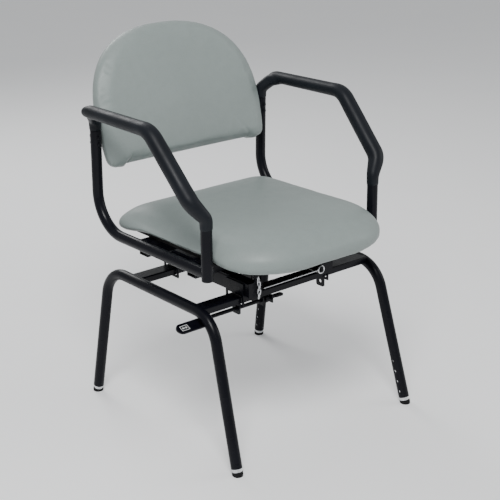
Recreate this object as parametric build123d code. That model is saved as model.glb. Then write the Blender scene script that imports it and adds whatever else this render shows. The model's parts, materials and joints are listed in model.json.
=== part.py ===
from build123d import *
import math
import os

# Rotating and sliding assist chair.  Millimetres, +Z up, floor at z = 0.
# The sitter faces -Y.  The chair is drawn about the middle of its four feet, and each
# piece is then moved so that the origin lies under the middle of the whole chair.

# ---------------------------------------------------------------- driving dimensions
MIDDLE_X = -9.5            # middle of the whole chair, seen from above
MIDDLE_Y = 30.45

TUBE_R = 12.7              # frame tube, one inch outside diameter
TUBE_WALL = 2.0
TUBE_BORE = TUBE_R - TUBE_WALL

FOOT_X = 260.0             # where the legs meet the floor
FOOT_Y = 273.0
FRAME_X = 246.0            # virtual corners of the two bent leg frames
FRAME_FRONT_Y = -178.0
FRAME_REAR_Y = 213.0
FRAME_Z = 334.0
FRAME_BEND_R = 75.0

FOOT_HEIGHT = 8.0          # rubber tip, then a bare plated band, then the frame tube
TUBE_END = 16.0
EXTENSION_R = TUBE_BORE - 0.05
EXTENSION_WALL = 1.9
EXTENSION_TOP = 172.0
HOLE_FIRST = 32.5          # height holes, measured up the leg from the floor
HOLE_PITCH = 25.4
HOLE_COUNT = 4
BUTTON_R = 3.3
BUTTON_TIP = 10.4          # pressed in, just under the extension's surface

RAIL_WIDTH = 38.0          # cross rails are folded channels, open downwards
RAIL_TOP = 345.0
RAIL_DEPTH = 15.0
RAIL_WALL = 2.5
FRONT_RAIL_Y = -132.0
REAR_RAIL_Y = 107.0

NOTCH_PITCH = 25.0         # slide positions cut in the lock rack
NOTCHES_LEFT = 3
NOTCHES_RIGHT = 4
RACK_THICK = 8.0
RACK_TOP = 340.0

CHANNEL_WIDTH = 27.0       # two carriage channels running front to back
CHANNEL_BOTTOM = 348.0
CHANNEL_TOP = 381.0
CHANNEL_FRONT = -173.0
CHANNEL_REAR = 128.0
CHANNEL_WALL = 2.5
LEFT_CHANNEL_X = -142.0    # outer faces
RIGHT_CHANNEL_X = 107.0
BRACKET_THICK = 3.0

LEVER_Y = -133.0           # lever rod axis
LEVER_Z = 313.0
LEVER_R = 4.5
LEVER_END = -236.0         # outer end of the rod, inside the paddle
PADDLE_TILT = 25.0
LATCH_X = -60.0            # plane of the latch parts
LATCH_Y = -94.0
LATCH_LIFT = 10.0          # travel of the slide latch
LATCH_WIDTH = 16.0
LATCH_THICK = 5.0
GUIDE_HEIGHTS = (334.0, 344.0)
GUIDE_R = 2.5
GUIDE_SLOT_R = 2.8
CHEEK_THICK = 3.0
CHEEK_GAP = 12.0           # from the latch plane to a cheek's inner face
CRANK_HALF = 4.0           # half the width of the crank and of the rocker
ROCKER_Y = -73.0           # rocker pivot
ROCKER_Z = 362.0
ROCKER_ARM = 25.0
ROCKER_HALF = 5.0
PIVOT_R = 3.0
PIN_R = 4.0                # swivel pin
LOCK_GAP = 0.6             # the two locks stand this far from what they catch
WORKING_GAP = 1.0          # between one part of the release train and the next

SWIVEL_Y = -12.0           # swivel axis
RACE_R = 48.0
BALL_R = 3.175
BALL_COUNT = 32
TURNTABLE_R = 100.0
RACE_BOTTOM = 384.0
BALL_Z = 391.0
TURNTABLE_BOTTOM = 398.0
TURNTABLE_TOP = 402.0

ARM_FRONT_X = 244.0
ARM_REAR_X = 247.0
ARM_FRONT_Y = -162.0
ARM_REAR_Y = 240.0         # top of the rear post
ARM_CORNER_Y = 246.0       # the post leans a little forwards from its foot
ARM_RAIL_Z = 428.0
ARM_POST_BOTTOM = 413.5
ARM_JOINT_Z = 525.0        # lower ends of the moulded armrest
ARM_REAR_JOINT_Z = 664.0
ARM_BEND_R = 90.0
CORE_R = 11.2              # core of the armrest
TUBE_LAP = 4.0             # front post inside the moulding

SEAT_BOTTOM = 437.0
SEAT_HALF_WIDTH = 228.0
SEAT_FRONT = -288.0
SEAT_REAR = 218.0
SEAT_THICK = 58.0
SEAT_FRONT_CORNER = 125.0
SEAT_REAR_CORNER = 40.0
SEAT_TUBE_FRONT_Y = -100.0 # cross tubes under the seat board
SEAT_TUBE_REAR_Y = 78.0
SEAT_TUBE_HALF = 15.0
SEAT_TUBE_WALL = 2.5
SIDE_BAR_IN = 222.0        # flat bars under the seat's edges
SIDE_BAR_OUT = 229.0
SIDE_BAR_HEIGHT = 14.0
SIDE_BAR_END = -16.0

BACK_HALF_WIDTH = 232.5    # at its widest
BACK_HALF_BOTTOM = 227.0
BACK_WIDEST = 100.0        # height of the widest point up the pad
BACK_HEIGHT = 315.6
BACK_SAG = 25.5            # hollow of the back across its width
BACK_LEAN = 16.5
BACK_Y = 211.8
BACK_Z = 575.0
BACK_THICK = 48.0
PANEL_THICK = 8.0
STRAP_REACH = 252.0
STRAP_BOTTOM = 624.0
STRAP_TOP = 656.0
STRAP_THICK = 3.0
SCREW_R = 2.5
POST_LEAN_GAP = 1.2        # washer space where the leaning post meets the strap
SCREW_HEIGHTS = (632, 648)

CHAIN_POINTS = ((-121.0, -181.0, 393.5), (-117.0, -181.0, 370.0), (-119.0, -181.0, 345.5))
HOOK_X = -121.0            # hook plate that the chain hangs from
HOOK_TOP = 397.0
LINK_WIRE = 1.1
LINK_WIDTH = 3.0
LINK_PITCH = 8.6
WIRE_START = (-104.5, -181.0, 364.5)
RING_X = 68.0
RING_Y = -179.0
RING_Z = 364.0
RING_R = 8.5
RING_WIRE = 1.5

SIDES = {"left": -1, "right": 1}
ENDS = {"front": -1, "rear": 1}

os.makedirs("parts", exist_ok=True)


# ---------------------------------------------------------------- helpers
def save(name, *solids):
    moved = [Pos(-MIDDLE_X, -MIDDLE_Y, 0) * solid for solid in solids]
    shape = moved[0] if len(moved) == 1 else Compound(children=moved)
    export_step(shape, f"parts/{name}.step")


def block(x0, x1, y0, y1, z0, z1):
    middle = ((x0 + x1) / 2, (y0 + y1) / 2, (z0 + z1) / 2)
    return Pos(*middle) * Box(x1 - x0, y1 - y0, z1 - z0)


def rod(start, end, radius):
    start, end = Vector(*start), Vector(*end)
    plane = Plane(origin=start, z_dir=end - start)
    return extrude(plane * Circle(radius), (end - start).length)


def along(path, radius):
    return sweep(Plane(origin=path @ 0, z_dir=path % 0) * Circle(radius), path=path)


def bent_tube(path, outer, bore):
    return along(path, outer) - along(path, bore)


def plate_yz(points, x0, x1):
    face = Plane.YZ * make_face(Polyline(*points, close=True).edges())
    return Pos(x0, 0, 0) * extrude(face, x1 - x0)


# ---------------------------------------------------------------- leg frames
def leg_line(side, end):
    """Floor point, unit vector up the leg, and unit vector towards the middle."""
    corner_y = FRAME_FRONT_Y if end < 0 else FRAME_REAR_Y
    foot = Vector(side * FOOT_X, end * FOOT_Y, 0)
    corner = Vector(side * FRAME_X, corner_y, FRAME_Z)
    up = (corner - foot).normalized()
    across = Vector(-side, 0, 0)
    inward = (across - up * across.dot(up)).normalized()
    return foot, corner, up, inward


def leg_plane(side, end):
    foot, _, up, inward = leg_line(side, end)
    return Plane(origin=foot, x_dir=inward, z_dir=up)


def hole_heights():
    return [HOLE_FIRST + HOLE_PITCH * k for k in range(HOLE_COUNT)]


def side_hole(height, radius):
    """A round cutter through the wall on the inner side of a leg."""
    cutter = Cylinder(radius, 12, align=(Align.CENTER, Align.CENTER, Align.MIN))
    return Pos(5, 0, height) * Rot(0, 90, 0) * cutter


def leg_path(side):
    front_foot, front_corner, front_up, _ = leg_line(side, -1)
    rear_foot, rear_corner, rear_up, _ = leg_line(side, 1)
    return FilletPolyline(
        front_foot + front_up * TUBE_END,
        front_corner,
        rear_corner,
        rear_foot + rear_up * TUBE_END,
        radius=FRAME_BEND_R,
    )


def leg_frame(side):
    tube = bent_tube(leg_path(side), TUBE_R, TUBE_BORE)
    for end in ENDS.values():
        for height in hole_heights():
            tube -= leg_plane(side, end) * side_hole(height, BUTTON_R + 0.35)
    return tube


def leg_extension(side, end):
    bore = EXTENSION_R - EXTENSION_WALL
    length = EXTENSION_TOP - FOOT_HEIGHT
    tube = Cylinder(EXTENSION_R, length) - Cylinder(bore, length)
    tube = Pos(0, 0, FOOT_HEIGHT + length / 2) * tube
    tube -= side_hole(hole_heights()[-1], BUTTON_R + 0.05)
    return leg_plane(side, end) * tube


def leg_foot(side, end):
    tip_r = 12.3
    plug_r = EXTENSION_R - EXTENSION_WALL
    tip = Pos(0, 0, FOOT_HEIGHT / 2 - 6) * Cylinder(tip_r, FOOT_HEIGHT + 12)
    plug = Pos(0, 0, FOOT_HEIGHT + 8) * Cylinder(plug_r, 16)
    foot = leg_plane(side, end) * (tip + plug)
    reach = 60
    return foot & Pos(side * FOOT_X, end * FOOT_Y, reach / 2) * Box(reach, reach, reach)


def leg_button(side, end):
    """Snap button riveted to a folded leaf spring inside the extension."""
    height = hole_heights()[-1]
    stem_start = 4.6
    stem = Pos(stem_start, 0, height) * Rot(0, 90, 0) * Cylinder(
        BUTTON_R, BUTTON_TIP - 1 - stem_start, align=(Align.CENTER, Align.CENTER, Align.MIN)
    )
    dome = Pos(BUTTON_TIP - 1, 0, height) * Rot(0, 90, 0) * Cylinder(
        BUTTON_R, 1, align=(Align.CENTER, Align.CENTER, Align.MIN)
    )
    dome = fillet(dome.edges().group_by(Axis.X)[-1], 0.8)
    outline = Polyline(
        (4.2, height - 6), (5.0, height - 6), (5.0, height + 8), (-2.0, height + 46),
        (-6.6, height + 46), (-6.6, height - 2), (-5.8, height - 2), (-5.8, height + 45.2),
        (-2.6, height + 45.2), (4.2, height + 7.8), close=True,
    )
    leaf = extrude(Plane.XZ * make_face(outline.edges()), 3, both=True)
    return leg_plane(side, end) * (leaf + stem + dome)


# ---------------------------------------------------------------- cross rails
def cross_rail(y):
    half = RAIL_WIDTH / 2
    reach = FRAME_X - 3
    rail = block(-reach, reach, y - half, y + half, RAIL_TOP - RAIL_DEPTH, RAIL_TOP)
    rail = fillet(rail.edges().filter_by(Axis.X).group_by(Axis.Z)[-1], 3)
    rail -= block(
        -reach, reach,
        y - half + RAIL_WALL, y + half - RAIL_WALL,
        RAIL_TOP - RAIL_DEPTH, RAIL_TOP - RAIL_WALL,
    )
    for side in SIDES.values():
        rail -= along(leg_path(side), TUBE_R)
    return rail


def lock_rack():
    """Notched strip welded behind the front rail; the slide latch drops into it."""
    y0 = FRONT_RAIL_Y + RAIL_WIDTH / 2
    margin = 14
    left = LATCH_X - NOTCH_PITCH * NOTCHES_LEFT - margin
    right = LATCH_X + NOTCH_PITCH * NOTCHES_RIGHT + margin
    rack = block(left, right, y0, y0 + RACK_THICK, RAIL_TOP - RAIL_DEPTH + 1, RACK_TOP)
    for k in range(-NOTCHES_LEFT, NOTCHES_RIGHT + 1):
        x = LATCH_X + NOTCH_PITCH * k
        rack -= block(x - 4, x + 4, y0, y0 + RACK_THICK, RACK_TOP - 5, RACK_TOP)
    return rack


# ---------------------------------------------------------------- carriage
def carriage_channel(side):
    """Folded channel, open towards the middle of the chair."""
    outer = LEFT_CHANNEL_X if side < 0 else RIGHT_CHANNEL_X
    inner = outer - side * CHANNEL_WIDTH
    x0, x1 = sorted((outer, inner))
    channel = block(x0, x1, CHANNEL_FRONT, CHANNEL_REAR, CHANNEL_BOTTOM, CHANNEL_TOP)
    channel = fillet(channel.edges().filter_by(Axis.Y).group_by(Axis.X)[0 if side < 0 else -1], 2.5)
    hollow_outer = outer - side * CHANNEL_WALL
    h0, h1 = sorted((hollow_outer, inner))
    channel -= block(
        h0, h1, CHANNEL_FRONT, CHANNEL_REAR,
        CHANNEL_BOTTOM + CHANNEL_WALL, CHANNEL_TOP - CHANNEL_WALL,
    )
    return channel


def channel_end_plates():
    """Front closing plates; the left carries the chain's hook and the right the ring's stud."""
    thick, overhang = 2.0, 11.0
    y0, y1 = CHANNEL_FRONT - thick, CHANNEL_FRONT
    left_in = LEFT_CHANNEL_X + CHANNEL_WIDTH + overhang
    right_in = RIGHT_CHANNEL_X - CHANNEL_WIDTH - overhang
    left = block(LEFT_CHANNEL_X, left_in, y0, y1, CHANNEL_BOTTOM, CHANNEL_TOP)
    right = block(right_in, RIGHT_CHANNEL_X, y0, y1, CHANNEL_BOTTOM, CHANNEL_TOP)
    stud_r = 2
    stud_z = RING_Z + RING_R - RING_WIRE - stud_r - 0.1
    stud = rod((RING_X, y0 + 0.5, stud_z), (RING_X, y0 - 6, stud_z), stud_r)
    head = rod((RING_X, y0 - 6, stud_z), (RING_X, y0 - 7.5, stud_z), 4)
    left += block(HOOK_X - 5, HOOK_X + 5, y0, y1, CHANNEL_TOP - 1, HOOK_TOP)
    return left, right + stud + head


def carriage_plate():
    plate = block(LEFT_CHANNEL_X, RIGHT_CHANNEL_X, -105, 100, CHANNEL_TOP, RACE_BOTTOM)
    plate = fillet(plate.edges().filter_by(Axis.Z), 6)
    plate -= Pos(0, SWIVEL_Y, CHANNEL_TOP) * Cylinder(6.2, 20)
    plate -= Pos(LATCH_X, ROCKER_Y + ROCKER_ARM, CHANNEL_TOP) * Cylinder(PIN_R + 0.05, 20)
    return plate


def bracket_window(y, rack_side):
    """Space that a rail bracket leaves around its rail."""
    half = RAIL_WIDTH / 2
    rear_space = RACK_THICK + 2 if rack_side else 3
    return y - half - 3, y + half + rear_space, RAIL_TOP - RAIL_DEPTH - 3, RAIL_TOP + 3


def rail_bracket(side, y, tab):
    outer = LEFT_CHANNEL_X if side < 0 else RIGHT_CHANNEL_X
    x0, x1 = sorted((outer, outer + side * BRACKET_THICK))
    y0, y1, z0, z1 = bracket_window(y, tab)
    rim = 5
    plate = block(x0, x1, y0 - rim, y1 + rim, z0 - rim, CHANNEL_TOP - 4)
    plate -= block(x0, x1, y0, y1, z0, z1)
    if tab:
        tab_half = 13
        foot = block(x0, x1, LEVER_Y - tab_half, LEVER_Y + tab_half, LEVER_Z - 12, z0 - 1)
        foot = fillet(foot.edges().filter_by(Axis.X).group_by(Axis.Z)[0], 5)
        plate += foot
        plate -= rod((x0 - 1, LEVER_Y, LEVER_Z), (x1 + 1, LEVER_Y, LEVER_Z), LEVER_R + 0.05)
    return plate


def rail_glides():
    """Nylon pads between the rails and the channels."""
    pads = []
    for outer, side in ((LEFT_CHANNEL_X, -1), (RIGHT_CHANNEL_X, 1)):
        middle = outer - side * CHANNEL_WIDTH / 2
        for y in (FRONT_RAIL_Y, REAR_RAIL_Y):
            pads.append(block(middle - 12, middle + 12, y - 17, y + 17, RAIL_TOP, CHANNEL_BOTTOM))
    return pads


def lock_cheeks():
    """Pair of plates hung under the carriage that hold the lever rod and the latches."""
    outline = (
        (-62, CHANNEL_TOP), (-62, 352), (-84, 330), (-88, 303), (LEVER_Y - 10, 303),
        (LEVER_Y - 10, 322), (-102, 322), (-102, CHANNEL_TOP),
    )
    cheeks = []
    for x0 in (LATCH_X - CHEEK_GAP - CHEEK_THICK, LATCH_X + CHEEK_GAP):
        x1 = x0 + CHEEK_THICK
        cheek = plate_yz(outline, x0, x1)
        cheek -= rod((x0, LEVER_Y, LEVER_Z), (x1, LEVER_Y, LEVER_Z), LEVER_R + 0.05)
        cheek -= rod((x0, ROCKER_Y, ROCKER_Z), (x1, ROCKER_Y, ROCKER_Z), PIVOT_R)
        for z in GUIDE_HEIGHTS:
            cheek -= rod((x0, LATCH_Y, z), (x1, LATCH_Y, z), GUIDE_R)
        cheeks.append(cheek)
    return cheeks


def latch_pins():
    """Two guide pins for the slide latch and the rocker's pivot pin."""
    reach = CHEEK_GAP + CHEEK_THICK + 2
    x0, x1 = LATCH_X - reach, LATCH_X + reach
    guides = [rod((x0, LATCH_Y, z), (x1, LATCH_Y, z), GUIDE_R) for z in GUIDE_HEIGHTS]
    return guides + [rod((x0, ROCKER_Y, ROCKER_Z), (x1, ROCKER_Y, ROCKER_Z), PIVOT_R)]


def rocker_spring():
    turns, pitch, wire = 4, 1.5, 0.6
    helix = Helix(pitch=pitch, height=turns * pitch, radius=4.4)
    coil = sweep(Plane(origin=helix @ 0, z_dir=helix % 0) * Circle(wire), path=helix)
    return Pos(LATCH_X - 11.2, ROCKER_Y, ROCKER_Z) * Rot(0, 90, 0) * coil


# ---------------------------------------------------------------- turntable bearing
def race(z0, z1, groove_r):
    ring = Cylinder(RACE_R + 10, z1 - z0) - Cylinder(RACE_R - 10, z1 - z0)
    ring = Pos(0, SWIVEL_Y, (z0 + z1) / 2) * ring
    return ring - Pos(0, SWIVEL_Y, BALL_Z) * Torus(RACE_R, groove_r)


def bearing_balls():
    balls = []
    for k in range(BALL_COUNT):
        angle = 2 * math.pi * k / BALL_COUNT
        x, y = RACE_R * math.cos(angle), RACE_R * math.sin(angle)
        balls.append(Pos(x, SWIVEL_Y + y, BALL_Z) * Sphere(BALL_R))
    return balls


def centre_bolt():
    axis = Pos(0, SWIVEL_Y, 0)
    head = extrude(Plane.XY.offset(CHANNEL_TOP - 8) * RegularPolygon(10, 6), 8)
    shank = Pos(0, 0, CHANNEL_TOP - 1) * Cylinder(6, 36, align=(Align.CENTER, Align.CENTER, Align.MIN))
    return axis * (head + shank)


def centre_nut():
    nut = extrude(Plane.XY.offset(TURNTABLE_TOP + 2.4) * RegularPolygon(10, 6), 9)
    washer = extrude(Plane.XY.offset(TURNTABLE_TOP + 0.4) * Circle(13), 2)
    return Pos(0, SWIVEL_Y, 0) * (nut + washer) - Pos(0, SWIVEL_Y, TURNTABLE_TOP) * Cylinder(6, 60)


def turntable_plate():
    """Disc with four index holes, one for each quarter turn."""
    plate = Pos(0, SWIVEL_Y, (TURNTABLE_BOTTOM + TURNTABLE_TOP) / 2) * Cylinder(
        TURNTABLE_R, TURNTABLE_TOP - TURNTABLE_BOTTOM
    )
    plate -= Pos(0, SWIVEL_Y, TURNTABLE_TOP) * Cylinder(6.05, 20)
    pin_y = ROCKER_Y + ROCKER_ARM - SWIVEL_Y
    first = math.atan2(pin_y, LATCH_X)
    reach = math.hypot(pin_y, LATCH_X)
    for k in range(4):
        angle = first + k * math.pi / 2
        x, y = reach * math.cos(angle), reach * math.sin(angle)
        plate -= Pos(x, SWIVEL_Y + y, TURNTABLE_TOP) * Cylinder(4.5, 20)
    return plate


# ---------------------------------------------------------------- release lever and latches
def lever_rod():
    """Round rod; its inner end is flattened and drilled."""
    body = rod((LEVER_END, LEVER_Y, LEVER_Z), (-31, LEVER_Y, LEVER_Z), LEVER_R)
    tongue = block(-33, -10, LEVER_Y - 7, LEVER_Y + 7, LEVER_Z - 2, LEVER_Z + 2)
    tongue = fillet(tongue.edges().filter_by(Axis.Z).group_by(Axis.X)[-1], 5)
    tongue -= Pos(-17, LEVER_Y, LEVER_Z) * Cylinder(2.5, 10)
    return body + tongue


def lever_paddle():
    """Flat steel handle, tilted down at the front, seated on the rod's outer end."""
    tip, root, thick = -312, -222, 4
    front, back = -21, 6
    middle = (front + back) / 2
    half = (back - front) / 2
    plate = block(tip + half, root, front, back, -thick / 2, thick / 2)
    plate += Pos(tip + half, middle, 0) * Cylinder(half, thick)
    plate = fillet(plate.edges().filter_by(Axis.Z).group_by(Axis.X)[-1], 8)
    plate -= rod((LEVER_END, 0, 0), (root + 5, 0, 0), LEVER_R)
    return Pos(0, LEVER_Y, LEVER_Z) * Rot(PADDLE_TILT, 0, 0) * plate


def lever_crank():
    """Arm on the rod that lifts the latches from below."""
    reach = LATCH_Y - LEVER_Y
    x0, x1 = LATCH_X - CRANK_HALF, LATCH_X + CRANK_HALF
    arm = block(x0, x1, 0, reach, -CRANK_HALF, CRANK_HALF)
    arm += rod((x0, 0, 0), (x1, 0, 0), 9)
    arm += rod((x0, reach, 0), (x1, reach, 0), CRANK_HALF)
    arm -= rod((x0, 0, 0), (x1, 0, 0), LEVER_R)
    return Pos(0, LEVER_Y, LEVER_Z) * arm


def retaining_rings():
    left_face = LEFT_CHANNEL_X - BRACKET_THICK
    inner_face = LATCH_X + CHEEK_GAP + CHEEK_THICK
    rings = []
    for x0 in (left_face - 2, inner_face + 0.5):
        ring = rod((x0, LEVER_Y, LEVER_Z), (x0 + 1.5, LEVER_Y, LEVER_Z), 7.5)
        rings.append(ring - rod((x0, LEVER_Y, LEVER_Z), (x0 + 1.5, LEVER_Y, LEVER_Z), LEVER_R))
    return rings


def slide_latch():
    """Flat slider with one long guide slot, a tooth over the rack and a nose under the rocker."""
    x0, x1 = LATCH_X - LATCH_THICK / 2, LATCH_X + LATCH_THICK / 2
    y0, y1 = LATCH_Y - LATCH_WIDTH / 2, LATCH_Y + LATCH_WIDTH / 2
    bottom = LEVER_Z + CRANK_HALF + WORKING_GAP
    nose_top = ROCKER_Z - ROCKER_HALF - WORKING_GAP
    low, high = GUIDE_HEIGHTS[0] - LATCH_LIFT, GUIDE_HEIGHTS[1]
    body = block(x0, x1, y0, y1, bottom, nose_top - 5.5)
    body -= block(x0, x1, LATCH_Y - GUIDE_SLOT_R, LATCH_Y + GUIDE_SLOT_R, low, high)
    for z in (low, high):
        body -= rod((x0, LATCH_Y, z), (x1, LATCH_Y, z), GUIDE_SLOT_R)
    nose = block(x0, x1, y0, y0 + 4, RACK_TOP, nose_top)
    tooth_front = FRONT_RAIL_Y + RAIL_WIDTH / 2 + 1
    tooth = block(x0, x1, tooth_front, y0, RACK_TOP + LOCK_GAP, RACK_TOP + 8)
    return body + nose + tooth


def lock_rocker():
    """Two-armed rocker: the latch lifts its front end and its rear end drops."""
    x0, x1 = LATCH_X - CRANK_HALF, LATCH_X + CRANK_HALF
    front, rear = ROCKER_Y - ROCKER_ARM, ROCKER_Y + ROCKER_ARM
    body = block(x0, x1, front, rear, ROCKER_Z - ROCKER_HALF, ROCKER_Z + ROCKER_HALF)
    for y in (front, rear):
        body += rod((x0, y, ROCKER_Z), (x1, y, ROCKER_Z), ROCKER_HALF)
    return body - rod((x0, ROCKER_Y, ROCKER_Z), (x1, ROCKER_Y, ROCKER_Z), PIVOT_R + 0.05)


def swivel_pin():
    """Upright pin under the turntable; it drops to free the swivel."""
    x, y = LATCH_X, ROCKER_Y + ROCKER_ARM
    bottom = ROCKER_Z + ROCKER_HALF + WORKING_GAP
    pin = rod((x, y, bottom), (x, y, TURNTABLE_BOTTOM - LOCK_GAP), PIN_R)
    return chamfer(pin.edges().group_by(Axis.Z)[-1], 1)


# ---------------------------------------------------------------- tie chain, wire and ring
def chain_link(middle, direction, turn):
    """Oval link whose long axis lies along direction, turned about that axis."""
    straight = LINK_PITCH - LINK_WIDTH * 2 + LINK_WIRE * 2 + 2.2
    oval = SlotOverall(straight + LINK_WIDTH * 2, LINK_WIDTH * 2).face().outer_wire()
    plane = Plane(origin=oval @ 0, z_dir=oval % 0)
    link = sweep(plane * Circle(LINK_WIRE), path=oval)
    seat = Plane(origin=middle, x_dir=direction, z_dir=Vector(direction).cross(Vector(0.3, 1, 0.2)))
    return seat * Rot(turn, 0, 0) * link


def tie_chain():
    route = Polyline(*CHAIN_POINTS)
    count = int(route.length / LINK_PITCH)
    links = []
    for k in range(count):
        at = (k + 0.5) / count
        links.append(chain_link(route @ at, route % at, 45 + 90 * (k % 2)))
    return links


def tie_wire():
    return rod(WIRE_START, (RING_X - RING_R - RING_WIRE - 0.6, RING_Y + 1, RING_Z), 1.2)


def tie_ring():
    return Pos(RING_X, RING_Y, RING_Z) * Rot(90, 0, 0) * Torus(RING_R, RING_WIRE)


# ---------------------------------------------------------------- arm frames
def arm_path(side):
    """Centre line of the moulded armrest, joint at the front to the rear post."""
    return FilletPolyline(
        (side * ARM_FRONT_X, ARM_FRONT_Y, ARM_JOINT_Z),
        (side * ARM_FRONT_X, ARM_FRONT_Y, 547),
        (side * 271, -147, 585),
        (side * 279, -21, 717),
        (side * 275, 216, 716),
        (side * ARM_REAR_X, ARM_REAR_Y, 686),
        (side * ARM_REAR_X, ARM_REAR_Y, ARM_REAR_JOINT_Z),
        radius=(14, 34, 48, 20, 14),
    )


def rear_tube_path(side, start):
    """Lower rail and rear post, starting a distance behind the front post's axis."""
    return FilletPolyline(
        (side * ARM_FRONT_X, ARM_FRONT_Y + start, ARM_RAIL_Z),
        (side * ARM_REAR_X, ARM_CORNER_Y, ARM_RAIL_Z),
        (side * ARM_REAR_X, ARM_REAR_Y, ARM_REAR_JOINT_Z),
        radius=ARM_BEND_R,
    )


def screw_places():
    """Where the back's screws cross the rear posts."""
    return [(side * ARM_REAR_X, ARM_REAR_Y, z) for side in SIDES.values() for z in SCREW_HEIGHTS]


def arm_frame(side):
    post_bottom = (side * ARM_FRONT_X, ARM_FRONT_Y, ARM_POST_BOTTOM)
    post_top = (side * ARM_FRONT_X, ARM_FRONT_Y, ARM_JOINT_Z + TUBE_LAP)
    core = along(arm_path(side), CORE_R)
    frame = rod(post_bottom, post_top, TUBE_R) + along(rear_tube_path(side, 0), TUBE_R) + core
    frame -= rod(post_bottom, (side * ARM_FRONT_X, ARM_FRONT_Y, ARM_JOINT_Z), TUBE_BORE)
    frame -= along(rear_tube_path(side, 12), TUBE_BORE)
    for x, y, z in screw_places():
        frame -= rod((x, y - 20, z), (x, y + 20, z), SCREW_R + 0.05)
    return frame


def armrest(side):
    """Moulded grip around the bent core, with a rounded overhanging rear end."""
    path = arm_path(side)
    body = along(path, 15.2)
    rear = Vector(side * 275, 212, 716)
    tail = Vector(side * 278, 226, 714)
    body += rod(rear, tail, 14) + Pos(*tail) * Sphere(14)
    body -= along(path, CORE_R)
    body -= along(rear_tube_path(side, 0), TUBE_R)
    post = (side * ARM_FRONT_X, ARM_FRONT_Y, ARM_JOINT_Z)
    return body - rod(post, (post[0], post[1], ARM_JOINT_Z + TUBE_LAP), TUBE_R)


def post_end_cap(side):
    x, y, z = side * ARM_FRONT_X, ARM_FRONT_Y, ARM_POST_BOTTOM
    flange = rod((x, y, z - 2), (x, y, z), TUBE_R)
    flange = fillet(flange.edges().group_by(Axis.Z)[0], 1.2)
    return flange + rod((x, y, z), (x, y, z + 8), TUBE_BORE)


# ---------------------------------------------------------------- seat structure
def seat_cross_tube(y):
    half, wall, reach = SEAT_TUBE_HALF, SEAT_TUBE_WALL, ARM_FRONT_X - 4
    tube = block(-reach, reach, y - half, y + half, TURNTABLE_TOP, SEAT_BOTTOM)
    tube -= block(-reach, reach, y - half + wall, y + half - wall, TURNTABLE_TOP + wall, SEAT_BOTTOM - wall)
    for side in SIDES.values():
        tube -= along(rear_tube_path(side, 0), TUBE_R)
    return tube


def seat_side_bar(side):
    """Flat bar under the seat's edge, interrupted by the front cross tube."""
    x0, x1 = sorted((side * SIDE_BAR_IN, side * SIDE_BAR_OUT))
    z0 = SEAT_BOTTOM - SIDE_BAR_HEIGHT
    gap = SEAT_TUBE_HALF + 2
    front = block(x0, x1, ARM_FRONT_Y + 4, SEAT_TUBE_FRONT_Y - gap, z0, SEAT_BOTTOM)
    rear = block(x0, x1, SEAT_TUBE_FRONT_Y + gap, SIDE_BAR_END, z0, SEAT_BOTTOM)
    return front, rear


def side_bar_plug(side):
    x = side * (SIDE_BAR_IN + SIDE_BAR_OUT) / 2
    z = SEAT_BOTTOM - SIDE_BAR_HEIGHT / 2
    return rod((x, SIDE_BAR_END, z), (x, SIDE_BAR_END + 7, z), 5)


def seat_outline(inset):
    width = 2 * (SEAT_HALF_WIDTH - inset)
    depth = SEAT_REAR - SEAT_FRONT - 2 * inset
    outline = Rectangle(width, depth)
    outline = fillet(outline.vertices().group_by(Axis.Y)[0], SEAT_FRONT_CORNER - inset)
    outline = fillet(outline.vertices().group_by(Axis.Y)[-1], SEAT_REAR_CORNER - inset)
    return Pos(0, (SEAT_FRONT + SEAT_REAR) / 2, 0) * outline


def seat_board():
    return extrude(Plane.XY.offset(SEAT_BOTTOM) * seat_outline(16), 12)


def seat_pad():
    pad = extrude(Plane.XY.offset(SEAT_BOTTOM) * seat_outline(0), SEAT_THICK)
    pad = fillet(pad.faces().sort_by(Axis.Z)[-1].edges(), 26)
    pad = fillet(pad.faces().sort_by(Axis.Z)[0].edges(), 9)
    return pad - seat_board()


def seat_screws():
    """Screws up through the cross tubes into the seat board."""
    screws = []
    for y in (SEAT_TUBE_FRONT_Y, SEAT_TUBE_REAR_Y):
        for x in (-150, 150):
            screw = rod((x, y, TURNTABLE_TOP - 2.4), (x, y, TURNTABLE_TOP), 5)
            screws.append(screw)
    return screws


# ---------------------------------------------------------------- back
def back_outline():
    """Flat-bottomed arch in the pad's own width (x) and height (z)."""
    corner_r, power = 24, 2.4
    rise = BACK_HEIGHT - BACK_WIDEST
    arch = []
    for k in range(7):
        c, s = math.cos(math.pi * k / 12), math.sin(math.pi * k / 12)
        arch.append((BACK_HALF_WIDTH * max(c, 0) ** (2 / power), BACK_WIDEST + rise * s ** (2 / power)))
    arch[-1] = (0, BACK_HEIGHT)
    top = Spline(*arch, tangents=((0, 1), (-1, 0)))
    b = BACK_HALF_BOTTOM
    lower = FilletPolyline(
        (0, 0), (b - 6, 0), (b, BACK_WIDEST * 0.4), arch[0],
        radius=(corner_r, 60),
    )
    middle = Line((0, BACK_HEIGHT), (0, 0))
    half = make_face(top.edges() + lower.edges() + middle.edges())
    return half + mirror(half, Plane.YZ)


def back_slab(front, rear):
    """Part of the back between two distances behind its middle surface."""
    radius = BACK_HALF_WIDTH**2 / (2 * BACK_SAG) + BACK_SAG / 2
    centre = Pos(0, BACK_SAG - radius, BACK_HEIGHT / 2)
    slab = centre * (Cylinder(radius + rear, BACK_HEIGHT + 40) - Cylinder(radius + front, BACK_HEIGHT + 40))
    outline = extrude(Plane.XZ * back_outline(), 120, both=True)
    lean = Pos(0, BACK_Y, BACK_Z) * Rot(-BACK_LEAN, 0, 0)
    return lean * (slab & outline)


def strap_space(gap):
    y = ARM_REAR_Y + TUBE_R + POST_LEAN_GAP
    return block(
        -STRAP_REACH, STRAP_REACH, y - gap, y + STRAP_THICK + gap, STRAP_BOTTOM - gap, STRAP_TOP + gap
    )


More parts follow.
